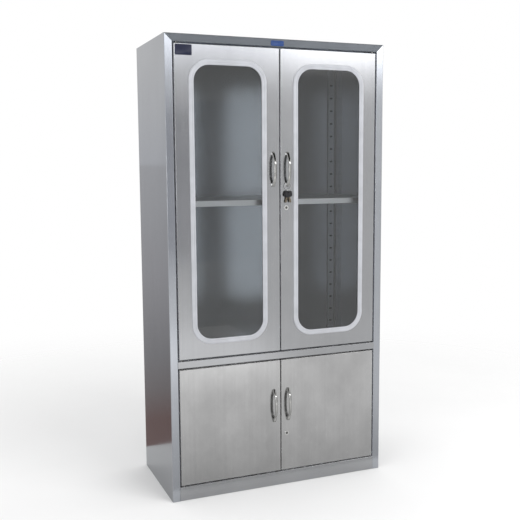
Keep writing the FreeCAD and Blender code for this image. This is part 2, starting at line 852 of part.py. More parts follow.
def gasket(name, side):
    """Rubber glazing profile, an H in section: outside it grips the door, inside the glass."""
    body = new_body(name)
    face = front - d.gasket_proud
    skin = front + d.sheet
    rear = skin + d.gasket_behind
    outer = window(side, ZERO)
    inner = window(side, d.gasket_width)
    add(body, "XZ_Plane", face, rear, outer, inner)
    slope_face(body, Vector(0, -1, 0), d.gasket_edge)
    clear_of_door = window(side, -d.overrun)
    cut(body, "XZ_Plane", front, skin, clear_of_door, window(side, sheet_groove))
    glass_face = front - d.glass_forward
    glass_edge = window(side, sheet_groove + d.gasket_web)
    within = window(side, d.gasket_width + d.overrun)
    cut(body, "XZ_Plane", glass_face, glass_face + d.glass_sheet, glass_edge, within)
    keep(name, body)


def glass_pane(name, side):
    body = new_body(name)
    glass_face = front - d.glass_forward
    edge = window(side, sheet_groove + d.gasket_web + d.seat_clear)
    add(body, "XZ_Plane", glass_face, glass_face + d.glass_sheet, edge)
    keep(name, body)


foot_offset = (d.handle_length - d.handle_foot) / 2


def handle(name, side, middle):
    """Bow handle: a flat bar on two slanting arms, with sloped edges."""
    body = new_body(name)
    crest = front - d.handle_reach
    grip = crest + d.handle_thickness
    stub = front - d.handle_stub
    bend = d.handle_bend
    outside = (
        (front, d.handle_length / 2),
        (stub, d.handle_length / 2, bend),
        (crest, d.handle_bar / 2, bend),
    )
    inside = (
        (grip, d.handle_grip / 2, bend),
        (stub, d.handle_length / 2 - d.handle_foot, bend),
        (front, d.handle_length / 2 - d.handle_foot),
    )
    outline = []
    for run, half_way in ((outside, LEFT), (outside[::-1], RIGHT), (inside[::-1], RIGHT), (inside, LEFT)):
        outline += [(point[0], middle + point[1] * half_way) + point[2:] for point in run]
    near = handle_x * side - d.handle_width / 2
    add(body, "YZ_Plane", near, near + d.handle_width, outline)
    for way in (LEFT, RIGHT):
        slope_face(body, Vector(way, 0, 0), d.handle_edge)
    for level in (middle - foot_offset, middle + foot_offset):
        hole = Circle(handle_x * side, level, d.screw_radius + d.hole_clear)
        cut(body, "XZ_Plane", front - d.screw_depth - d.hole_clear, front + d.overrun, hole)
    keep(name, body)


def handle_screws(name, side, levels):
    screws = []
    for level in levels:
        screw = new_body("handle_screw")
        skin = front + d.sheet
        head = Circle(handle_x * side, level, d.screw_head_radius)
        shank = Circle(handle_x * side, level, d.screw_radius)
        add(screw, "XZ_Plane", front - d.screw_depth, skin, shank)
        add(screw, "XZ_Plane", skin, skin + d.screw_head, head)
        screws.append(screw)
    group(name, screws)


def door_stiffener(name, side):
    """Upright hat channel on the back of a lower door's skin."""
    body = new_body(name)
    low, high = lower_door
    middle = (door_inner + door_outer) / 2 * side
    outline = folded(hat_path(middle, front + d.sheet * 2, d.hat_height), d.sheet, d.bend)
    add(body, "XY_Plane", low + d.sheet, high - d.sheet, outline)
    keep(name, body)


def lock(prefix, levels, rise):
    """Cam lock: fixed housing and nut, turning plug with its cam hanging down when unlocked."""
    level = levels[0] + rise
    face = front - d.lock_face
    plug_end = door_back + d.cam_gap
    bore = d.plug_radius + d.plug_clear

    housing = new_body(prefix + "_lock_housing")
    hole = Circle(lock_x, level, bore)
    add(housing, "XZ_Plane", face, front, Circle(lock_x, level, d.lock_face_radius), hole)
    barrel = Circle(lock_x, level, d.lock_barrel_radius)
    add(housing, "XZ_Plane", front, door_back, barrel, hole)
    keep(prefix + "_lock_housing", housing)

    nut = new_body(prefix + "_lock_nut")
    reach = d.nut_flats / 2 / math.cos(math.pi / HEX_SIDES)
    hexagon = []
    for index in range(HEX_SIDES):
        angle = 2 * math.pi * index / HEX_SIDES
        hexagon.append((lock_x + reach * math.cos(angle), reach * math.sin(angle) + level))
    skin = front + d.sheet
    thread = Circle(lock_x, level, d.lock_barrel_radius + d.hole_clear)
    add(nut, "XZ_Plane", skin, skin + d.nut_height, hexagon, thread)
    keep(prefix + "_lock_nut", nut)

    plug = new_body(prefix + "_lock_plug")
    plug_face = face + d.plug_recess
    add(plug, "XZ_Plane", plug_face, plug_end, Circle(lock_x, level, d.plug_radius))
    side = d.cam_square / 2
    square = box(lock_x - side, level - side, lock_x + side, level + side)
    add(plug, "XZ_Plane", plug_end, plug_end + d.cam_sheet, square)
    keyway = box(
        lock_x - d.keyway_width / 2,
        level - d.keyway_height / 2,
        lock_x + d.keyway_width / 2,
        level + d.keyway_height / 2,
    )
    cut(plug, "XZ_Plane", plug_face - d.overrun, plug_face + d.keyway_depth, keyway)
    keep(prefix + "_lock_plug", plug)

    cam = new_body(prefix + "_lock_cam")
    cam_half = d.cam_width / 2
    plate = box(lock_x - cam_half, level - d.cam_reach, lock_x + cam_half, level + cam_half, cam_half)
    side = d.cam_square / 2 + d.hole_clear
    seat = box(lock_x - side, level - side, lock_x + side, level + side)
    add(cam, "XZ_Plane", plug_end, plug_end + d.cam_sheet, plate, seat)
    keep(prefix + "_lock_cam", cam)

    screw = new_body(prefix + "_cam_screw")
    cam_back = plug_end + d.cam_sheet
    add(screw, "XZ_Plane", cam_back, cam_back + d.cam_screw_head, Circle(lock_x, level, d.cam_screw_radius))
    slope_face(screw, Vector(0, 1, 0), d.cam_screw_edge)
    keep(prefix + "_cam_screw", screw)


def bolt(name, end, upward):
    """Round sliding bolt with a finger knob, drawn so that its end is free of the frame."""
    body = new_body(name)
    low = end - d.bolt_length if upward else end
    add(body, "XY_Plane", low, low + d.bolt_length, Circle(bolt_x, bolt_y, d.bolt_radius))
    slope_face(body, Vector(0, 0, 1 if upward else -1), d.bolt_edge)
    knob = Circle(bolt_x, low + d.bolt_length / 2, d.knob_radius)
    add(body, "XZ_Plane", bolt_y, bolt_y + d.knob_length, knob)
    keep(name, body)


def bolt_guides(name, ends):
    """Guides on the door's back lip, two for each bolt."""
    saddles = []
    for end, upward in ends:
        low = end - d.bolt_length if upward else end
        far = bolt_y + d.bolt_radius + d.guide_wall
        for level in (low + d.guide_end, low + d.bolt_length - d.guide_end):
            saddle = new_body("bolt_guide")
            outline = [
                (bolt_x - d.guide_width / 2, door_back),
                (bolt_x + d.guide_width / 2, door_back),
                (bolt_x + d.guide_width / 2, far, d.guide_round),
                (bolt_x - d.guide_width / 2, far, d.guide_round),
            ]
            bore = Circle(bolt_x, bolt_y, d.bolt_radius + d.bolt_fit)
            start = level - d.guide_height / 2
            add(saddle, "XY_Plane", start, start + d.guide_height, outline, bore)
            saddles.append(saddle)
    group(name, saddles)


def place(thing, x, y, z, degrees=0):
    """Put a piece drawn about its own origin where it belongs, turned about Y."""
    thing.Placement = FreeCAD.Placement(Vector(), FreeCAD.Rotation(Vector(0, 1, 0), degrees))
    for axis, size in zip("xyz", (x, y, z)):
        thing.setExpression("Placement.Base." + axis, size.text)


def flat_ring(name, plane, radius, wire):
    """A ring of flat wire about its own origin."""
    ring = new_body(name)
    add(ring, plane, -wire, wire, Circle(ZERO, ZERO, radius + wire), Circle(ZERO, ZERO, radius - wire))
    return ring


def keys():
    """Ring round the upper right handle's lower foot, a small link, and two keys fanned out."""
    foot_top = upper_door[0] + d.upper_handle_rise - d.handle_length / 2 + d.handle_foot
    ring_y = front - d.ring_stand - d.ring_wire
    ring_inside = d.ring_radius - d.ring_wire
    hang = (ring_inside * ring_inside - d.handle_width * d.handle_width / 4).root()
    ring_level = foot_top + d.seat_clear - hang
    ring = flat_ring("key_ring_loop", "XZ_Plane", d.ring_radius, d.ring_wire)
    place(ring, handle_x, ring_y, ring_level)
    link_inside = d.link_radius - d.link_wire
    room = link_inside - d.link_clear
    reach = d.link_forward + d.ring_wire
    link_y = ring_y - d.link_forward
    link_level = ring_level - d.ring_radius + d.ring_wire - (room * room - reach * reach).root()
    link = flat_ring("key_link", "YZ_Plane", d.link_radius, d.link_wire)
    place(link, handle_x, link_y, link_level)
    group("key_ring", [ring, link])

    stack = d.head_sheet + d.key_gap / 2
    rise = (link_inside * link_inside - stack * stack).root()
    hole_level = link_level - rise + d.link_clear - d.head_hole
    heads = []
    blades = []
    for side in (LEFT, RIGHT):
        key_y = link_y + stack / 2 * side
        top = d.head_top
        outline = box(-d.head_width / 2, top - d.head_height, d.head_width / 2, top, d.head_round)
        head = new_body("key_head")
        thick = d.head_sheet / 2
        add(head, "XZ_Plane", -thick, thick, outline, Circle(ZERO, ZERO, d.head_hole))
        place(head, handle_x, key_y, hole_level, KEY_FAN_DEGREES * side)
        heads.append(head)
        blade = new_body("key_blade")
        shoulder = top - d.head_height
        tip = shoulder - d.blade_length
        thin = d.blade_sheet / 2
        edge = d.blade_width / 2
        blade_outline = [
            (-edge, shoulder),
            (-edge, tip + d.blade_tip),
            (-edge + d.blade_tip, tip),
            (edge - d.blade_tip, tip),
            (edge, tip + d.blade_tip),
            (edge, shoulder),
        ]
        add(blade, "XZ_Plane", -thin, thin, blade_outline)
        place(blade, handle_x, key_y, hole_level, KEY_FAN_DEGREES * side)
        blades.append(blade)
    group("key_heads", heads)
    group("key_blades", blades)


def doors():
    doors_by_level = (
        ("upper", upper_door, True, d.upper_handle_rise),
        ("lower", lower_door, False, d.lower_handle_rise),
    )
    for storey, levels, glazed, handle_rise in doors_by_level:
        middle = levels[0] + handle_rise
        feet = (middle - foot_offset, middle + foot_offset)
        for side in (LEFT, RIGHT):
            prefix = "%s_%s" % (storey, SIDE_NAMES[side])
            door_pan(prefix + "_door_pan", side, levels, glazed, feet)
            pivot_bushes(prefix + "_pivot_bushes", side, levels)
            handle(prefix + "_handle", side, middle)
            handle_screws(prefix + "_handle_screws", side, feet)
            if glazed:
                gasket(prefix + "_gasket", side)
                glass_pane(prefix + "_glass", side)
            else:
                door_stiffener(prefix + "_stiffener", side)


def bolts():
    upper_top = top_bottom - d.stop_lip - d.bolt_free
    upper_foot = mid_top + d.bolt_free
    lower_top = mid_bottom - d.stop_lip - d.bolt_free
    bolt("upper_left_top_bolt", upper_top, True)
    bolt("upper_left_foot_bolt", upper_foot, False)
    bolt("lower_left_top_bolt", lower_top, True)
    bolt_guides("upper_left_bolt_guides", ((upper_top, True), (upper_foot, False)))
    bolt_guides("lower_left_bolt_guides", ((lower_top, True),))


def write_parts():
    doc.recompute()
    for thing in doc.Objects:
        if "Invalid" in thing.State or "Error" in thing.State:
            raise RuntimeError("%s failed: %s" % (thing.Label, thing.State))
    for name, thing in parts.items():
        if thing.Shape.isNull() or not thing.Shape.isValid():
            raise RuntimeError("%s has no valid shape" % name)
    os.makedirs("parts", exist_ok=True)
    for name, thing in parts.items():
        thing.Shape.exportStep("parts/%s.step" % name)


for panel_side in (LEFT, RIGHT):
    side_panel(panel_side)
    standards(panel_side)
top_panel()
middle_deck()
bottom_deck()
back_panel()
hinge_pins()
door_buffers()
shelf_clips()
shelf()
shelf_stiffener()
doors()
lock("upper", upper_door, d.upper_lock_rise)
lock("lower", lower_door, d.lower_lock_rise)
bolts()
keys()
write_parts()
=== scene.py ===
"""Instrument cabinet: finishes, small plates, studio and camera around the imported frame."""

import math

import bmesh
import bpy
from bpy.props import FloatProperty, FloatVectorProperty, PointerProperty
from mathutils import Matrix, Vector


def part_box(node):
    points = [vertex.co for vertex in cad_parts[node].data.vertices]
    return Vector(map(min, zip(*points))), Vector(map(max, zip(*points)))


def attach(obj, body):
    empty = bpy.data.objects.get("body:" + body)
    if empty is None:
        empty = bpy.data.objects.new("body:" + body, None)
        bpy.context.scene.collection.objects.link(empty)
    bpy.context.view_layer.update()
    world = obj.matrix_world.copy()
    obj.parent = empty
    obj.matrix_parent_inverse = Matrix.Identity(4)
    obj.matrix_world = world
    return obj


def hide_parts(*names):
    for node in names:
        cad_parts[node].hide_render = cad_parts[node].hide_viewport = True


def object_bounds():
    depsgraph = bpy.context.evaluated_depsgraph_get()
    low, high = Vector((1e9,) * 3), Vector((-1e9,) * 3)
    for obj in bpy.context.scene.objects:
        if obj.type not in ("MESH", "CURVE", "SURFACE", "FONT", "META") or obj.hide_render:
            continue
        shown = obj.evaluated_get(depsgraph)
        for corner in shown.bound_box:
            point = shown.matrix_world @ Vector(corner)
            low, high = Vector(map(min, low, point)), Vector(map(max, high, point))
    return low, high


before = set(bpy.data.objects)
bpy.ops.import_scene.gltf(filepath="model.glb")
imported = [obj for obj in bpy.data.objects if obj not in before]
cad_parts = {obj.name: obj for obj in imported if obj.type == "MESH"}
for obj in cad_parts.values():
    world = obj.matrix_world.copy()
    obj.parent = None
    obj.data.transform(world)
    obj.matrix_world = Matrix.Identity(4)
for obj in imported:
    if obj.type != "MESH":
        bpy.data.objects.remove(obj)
CAD_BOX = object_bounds()

bl_info = {
    "name": "Instrument cabinet",
    "version": (1, 0, 0),
    "blender": (4, 5, 0),
    "location": "View3D > Sidebar > Cabinet",
    "description": "Dresses a stainless steel instrument cabinet and sets its studio",
    "category": "Object",
}

DOORS = ("upper_left", "upper_right", "lower_left", "lower_right")
GLAZED_DOORS = DOORS[:2]
PLAIN_DOORS = DOORS[2:]
LEVELS = ("upper", "lower")
CORNERS = ("front_left", "front_right", "rear_left", "rear_right")
BOLTS = ("upper_left_top_bolt", "upper_left_foot_bolt", "lower_left_top_bolt")
BOLT_GUIDES = ("upper_left_bolt_guides", "lower_left_bolt_guides")

# Planes of the frame, and the places on a sheet that its patches cover
FLOOR_LEVEL = CAD_BOX[0][2]
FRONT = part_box("upper_left_door_pan")[0].y
DOOR_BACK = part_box("upper_left_door_pan")[1].y
FACE_DEPTH = 0.0015
FRONT_FACE = ("Y", FRONT - FACE_DEPTH, FRONT + FACE_DEPTH)
DOOR_EDGE = ("Y", FRONT + FACE_DEPTH, DOOR_BACK + FACE_DEPTH)

# Steps and sections of the meshes
CORNER_STEPS = 6
GASKET_STEPS = 16
BEND_STEPS = 8
BEND_SHARE = 0.42
SECTION_STEPS = 24
FOOT_POWER = 0.3
BAR_POWER = 0.85
SHARP_ANGLE = math.radians(42)

# Inset and rise along the gasket's front lips, by its width and its height
LIP_SHARES = (
    (0.00, 0.00), (0.00, 0.40), (0.03, 0.70), (0.09, 0.90), (0.20, 1.00), (0.40, 1.00), (0.53, 0.95),
    (0.58, 0.84), (0.61, 0.70), (0.64, 0.84), (0.70, 0.94), (0.84, 0.90), (0.95, 0.76), (1.00, 0.56),
)

# A plate's wall, the slopes of its rim and its sunk field, by its thickness
WALL_SHARE = 0.7
RIM_SHARE = 0.3
FIELD_SLOPE_SHARE = 0.25
FIELD_SHARE = 0.8
INNER_CORNER_SHARE = 0.3

# Axis of the brushing and strength of the smudges on each sheet
ACROSS, UPRIGHT = 0, 2
BRUSHING = {
    "steel_sides": (UPRIGHT, 0.5),
    "steel_top": (ACROSS, 0.6),
    "steel_rails": (ACROSS, 0.6),
    "steel_lining": (UPRIGHT, 0.4),
    "steel_shelf": (ACROSS, 0.6),
    "steel_standards": (UPRIGHT, 0.5),
    "steel_glazed_doors": (UPRIGHT, 0.6),
    "steel_plain_doors": (UPRIGHT, 1.3),
}

# Roughness of each plated or polished metal
POLISH = {
    "handle_chrome": 0.08,
    "lock_chrome": 0.10,
    "plug_metal": 0.22,
    "plated_steel": 0.32,
    "plated_clips": 0.3,
    "screw_steel": 0.3,
    "bolt_steel": 0.3,
    "key_blade_metal": 0.25,
    "key_ring_wire": 0.2,
}

# Roughness, grain and depth of each moulded skin
MOULDING = {
    "light_rubber": (0.45, 700.0, 0.00001),
    "key_head_plastic": (0.5, 1500.0, 0.00002),
    "bush_nylon": (0.4, 1200.0, 0.00002),
    "buffer_rubber": (0.7, 1500.0, 0.00005),
}

# Brushing, along the grain and across it, and the marks over it
FINE_GRAIN = (1.2, 420.0)
BAND_GRAIN = (0.4, 60.0)
BAND_DEPTH = 0.000004
CLOUD_STRETCH = (4.2, 4.2, 3.4)
WIPE_STRETCH = (14.0, 14.0, 11.0)
WIPE_SHARES = (0.95, 1.06)

# Marks on metal, dust on rubber, film on glass, and wear on lacquer
MARK_GRAIN = 60.0
MARK_TONES = (0.92, 1.04)
HAZE_GRAIN = 420.0
HAZE_SHARES = (0.7, 1.4)
DUST_GRAIN = 24.0
DUST_TONES = (0.93, 1.05)
PORE_SHARES = (0.85, 1.15)
GLASS_IOR = 1.5
FILM_STRETCH = (6.0, 6.0, 3.0)
FILM_TONES = (0.94, 1.0)
FILM_ROUGHNESS = (0.0, 0.03)
WEAR_GRAIN = 90.0
WEAR_TONES = (0.9, 1.12)
SPECKLE_GRAIN = 900.0
SPECKLE_ROUGHNESS = (0.26, 0.4)

# The floor's half width, its clearance under the cabinet, its mottle and where it starts to fade
FLOOR_HALF = 30.0
FLOOR_CELLS = 8
FLOOR_DROP = 0.0002
FLOOR_ROUGHNESS = 0.9
MOTTLE_GRAIN = 1.5
MOTTLE_TONES = (0.99, 1.01)
FADE_SHARE = 0.3
SENSOR_WIDTH = 36.0

# Place, aim, size and power of each lamp
LAMPS = (
    ("front_softbox", (1.45, -3.0, 2.84), (0.15, 0.0, 1.5), (2.5, 1.3), 65.0),
    ("left_softbox", (-3.0, -2.4, 3.0), (-0.3, 0.0, 1.0), (1.6, 1.6), 12.0),
)

# Tones of the cards, each at its share of the way onward
SIDE_TONES = (
    (0.0, (0.28, 0.20, 0.19)),
    (0.07, (0.28, 0.20, 0.19)),
    (0.15, (0.33, 0.30, 0.30)),
    (0.24, (0.39, 0.38, 0.39)),
    (0.44, (0.57, 0.56, 0.58)),
    (0.63, (0.67, 0.67, 0.69)),
    (0.73, (0.72, 0.72, 0.74)),
    (0.735, (0.82, 0.83, 0.86)),
    (1.0, (1.0, 1.0, 1.0)),
)
DARK_TONES = ((0.0, (0.03, 0.03, 0.03)), (1.0, (0.05, 0.05, 0.05)))
FLAG_TONES = ((0.0, (0.45, 0.45, 0.48)), (0.55, (0.58, 0.58, 0.61)), (1.0, (1.0, 1.0, 1.0)))
# The floor card is darker near the cabinet: a painted shadow of the cabinet on the floor, which the metal
# mirrors.
FLOOR_SHADOW_TONES = ((0.0, (0.62, 0.62, 0.62)), (0.35, (0.97, 0.97, 0.97)), (1.0, (1.0, 1.0, 1.0)))
GLOW_TONES = ((0.0, (1.0, 1.0, 1.0)), (0.4, (1.6, 1.6, 1.6)), (1.0, (1.6, 1.6, 1.6)))
LEFT_GLARE_TONES = ((0.0, (1.0, 1.0, 1.0)), (0.45, (3.0, 3.05, 3.2)), (1.0, (4.6, 4.6, 4.6)))
RIGHT_GLARE_TONES = ((0.0, (1.0, 1.0, 1.0)), (0.45, (4.6, 4.6, 4.7)), (1.0, (6.0, 6.0, 6.0)))
FLASH_TONES = ((0.0, (6.0, 6.0, 6.0)), (1.0, (6.0, 6.0, 6.0)))

# Corner, way across, way onward and tones of each card
CARDS = (
    ("side_card", (-1.5, 0.44, 0.0), (1.03, 0.0, 0.0), (0.0, 0.0, 1.75), SIDE_TONES),
    ("right_card", (2.4, 0.6, 0.0), (0.0, -2.8, 0.0), (0.0, 0.0, 1.7), DARK_TONES),
    ("left_flag", (-0.2, -3.54, 0.5), (0.0, 0.0, 1.3), (1.5, 0.0, 0.0), FLAG_TONES),
    ("floor_card", (3.5, -0.3, 0.001), (-5.0, 0.0, 0.0), (0.0, -2.4, 0.0), FLOOR_SHADOW_TONES),
    ("floor_glow", (0.9, -1.5, 0.002), (-1.3, 0.0, 0.0), (0.0, -1.8, 0.0), GLOW_TONES),
    ("left_glare", (1.2, -3.0, 2.0), (-1.2, 0.0, 0.0), (0.0, 0.0, 0.55), LEFT_GLARE_TONES),
    ("right_glare", (2.8, -3.0, 1.95), (-1.6, 0.0, 0.0), (0.0, 0.0, 0.6), RIGHT_GLARE_TONES),
    ("flash_card", (-0.9, -3.1, 0.95), (-0.6, 0.0, 0.0), (0.0, 0.0, 0.65), FLASH_TONES),
    ("top_card", (1.3, -2.6, 2.6), (-1.6, 0.0, 0.0), (0.0, 2.2, 0.0), DARK_TONES),
)


def length(name, description, default):
    """A property that holds a length in metres."""
    return FloatProperty(
        name=name, description=description, default=default, min=0.0, unit="LENGTH", precision=4)


def share(name, description, default):
    """A property that holds a share from none to all."""
    return FloatProperty(
        name=name, description=description, default=default, min=0.0, max=1.0, subtype="FACTOR")


def colour(name, description, default):
    """A property that holds a linear colour."""
    return FloatVectorProperty(
        name=name, description=description, default=default, min=0.0, max=1.0, size=3, subtype="COLOR")


def angle_of(name, description, degrees):
    """A property that holds an angle, given in degrees."""
    return FloatProperty(
        name=name, description=description, default=math.radians(degrees), subtype="ANGLE")


class CabinetSizes(bpy.types.PropertyGroup):
    """Sizes of the pieces that the finishing adds or shapes."""

    plate_width: length("Door plate width", "Width of the blank plate on the left glazed door", 0.063)
    plate_height: length("Door plate height", "Height of the blank plate", 0.038)
    plate_inset: length("Door plate inset", "From the door's hinge edge to the plate", 0.005)
    plate_drop: length("Door plate drop", "From the door's top edge to the plate", 0.004)
    plate_thickness: length("Door plate thickness", "Thickness of the blank plate", 0.0012)
    plate_corner: length("Door plate corner", "Corner radius of the blank plate", 0.002)
    plate_border: length("Door plate border", "Width of the blank plate's raised border", 0.0016)
    badge_width: length("Badge width", "Width of the blank badge on the top rail", 0.053)
    badge_height: length("Badge height", "Height of the blank badge", 0.020)
    badge_shift: FloatProperty(
        name="Badge shift", description="From the middle of the rail to the badge's middle",
        default=-0.0095, unit="LENGTH", precision=4)
    badge_thickness: length("Badge thickness", "Thickness of the blank badge", 0.0012)
    badge_corner: length("Badge corner", "Corner radius of the blank badge", 0.004)
    badge_border: length("Badge border", "Width of the blank badge's raised border", 0.0014)
    gasket_corner: length("Gasket corner", "Outer corner radius of the window gaskets", 0.080)
    gasket_width: length("Gasket width", "Width of the gasket's lips", 0.020)
    gasket_web: length("Gasket web", "Thickness of the web between door sheet and pane", 0.002)
    door_sheet: length("Door sheet", "Thickness of the door's sheet", 0.001)
    stile_width: length("Stile width", "Width of the stiles beside the doors", 0.030)
    standard_sheet: length("Standard sheet", "Thickness of the slotted standards", 0.001)
    handle_width: length("Handle width", "Width of the bow handles", 0.011)
    handle_foot: length("Handle foot", "Height of each foot of a handle", 0.013)
    handle_stub: length("Handle stub", "How far each foot stands straight out", 0.006)
    handle_bar: length("Handle bar", "Height of the bar on its outside", 0.062)
    handle_grip: length("Handle grip", "Height of the bar on its inside", 0.059)
    handle_thickness: length("Handle thickness", "Thickness of the bar", 0.008)


class CabinetFinish(bpy.types.PropertyGroup):
    """Colours and polish of the cabinet's materials."""

    steel: colour("Stainless steel", "Colour of the glazed doors and the rails", (0.345, 0.35, 0.36))
    side_steel: colour("Side panels", "Colour of the polished side panels", (0.24, 0.25, 0.268))
    lining_steel: colour("Lining", "Colour of the back, top and standards", (0.255, 0.275, 0.30))
    plain_steel: colour("Plain sheet", "Colour of the plain doors and the shelf", (0.42, 0.42, 0.42))
    steel_roughness: share("Steel roughness", "Roughness of the brushed sheet", 0.18)
    side_roughness: share("Side roughness", "Roughness of the polished side panels", 0.15)
    rail_roughness: share("Top rail roughness", "Roughness of the rail's cross brushing", 0.45)
    lining_roughness: share("Lining roughness", "Roughness of the back panel", 0.24)
    shelf_roughness: share("Shelf roughness", "Roughness of the shelf", 0.4)
    standard_roughness: share("Standard roughness", "Roughness of the slotted standards", 0.36)
    edge_roughness: share("Edge roughness", "Roughness of the ground edges", 0.6)
    # painted shade behind and inside the slotted standards: roughness of that dark patch
    painted_shade_roughness: share("Grime roughness", "Roughness of the grime in the slots", 0.8)
    stile_tone: share("Stile tone", "How bright the stiles beside the doors are", 0.395)
    # painted light: the edges that face the dark gaps round the doors are lightened so the gaps show less
    # shade
    gap_painted_light: share("Edge tone", "How bright the ground edges that face the gaps are", 0.75)
    # painted shade: the top rail's front is darkened to stand in for the duller reflection of its cross
    # brushing
    rail_painted_shade: share("Top rail tone", "How dark the rail's cross brushing makes it", 0.62)
    # painted shade: the back panel behind the standards' slots and the standards' hollows are darkened to
    # near black
    slot_painted_shade: share("Slot tone", "How dark the grime behind the standards' slots is", 0.04)
    smudge: share("Smudges", "How much the handled sheet varies in tone", 0.06)
    streak: share("Streaks", "How much the brushing varies in tone", 0.014)
    chrome: colour("Chrome", "Colour of the plated handles", (0.40, 0.40, 0.39))
    screw_steel: colour("Screws", "Colour of the handle screws", (0.45, 0.45, 0.44))
    clip_plating: colour("Shelf clips", "Colour of the plated shelf clips", (0.5, 0.5, 0.48))
    gasket: colour("Window gasket", "Colour of the light rubber round the panes", (0.43, 0.44, 0.47))
    glass: colour("Window glass", "Tint of the panes", (0.92, 0.95, 0.97))
    lock_housing: colour("Lock housings", "Colour of the plated lock housings", (0.60, 0.60, 0.59))
    lock_plug: colour("Lock plugs", "Colour of the worn lock plugs", (0.16, 0.16, 0.155))
    lock_plating: colour("Lock fittings", "Colour of the lock nuts and cams", (0.48, 0.47, 0.43))
    key_plastic: colour("Key heads", "Colour of the moulded key heads", (0.006, 0.006, 0.008))
    key_metal: colour("Key blades", "Colour of the key blades", (0.17, 0.145, 0.11))
    key_wire: colour("Key ring", "Colour of the key ring's wire", (0.5, 0.5, 0.5))
    bush_nylon: colour("Bushes", "Colour of the nylon hinge bushes", (0.07, 0.07, 0.07))
    buffer_rubber: colour("Buffers", "Colour of the rubber door buffers", (0.05, 0.05, 0.05))
    bolt_steel: colour("Bolts", "Colour of the hinge pins, bolts and guides", (0.46, 0.46, 0.44))
    plate: colour("Door plate", "Colour of the blank plate", (0.010, 0.013, 0.034))
    badge: colour("Badge", "Colour of the blank badge", (0.026, 0.058, 0.18))


class CabinetStudio(bpy.types.PropertyGroup):
    """Floor, light and camera."""

    floor: colour("Floor", "Colour of the studio floor", (0.86, 0.86, 0.86))
    floor_reach: length("Floor reach", "Where the floor has faded into the white surround", 3.4)
    fill: FloatProperty(
        name="Fill light", description="Level of the even light all round", default=1.0, min=0.0)
    camera_place: FloatVectorProperty(
        name="Camera place", description="Where the camera stands", default=(-1.2107, -2.9816, 1.2728),
        size=3, subtype="XYZ", unit="LENGTH")
    camera_yaw: angle_of("Yaw", "Camera's turn to the right of straight back", 21.99)
    camera_pitch: angle_of("Pitch", "Camera's tilt downwards", 6.79)
    camera_roll: angle_of("Roll", "Camera's turn round its own view", -0.384)
    camera_lens: FloatProperty(
        name="Lens", description="Focal length in millimetres", default=54.35, min=1.0, unit="CAMERA")


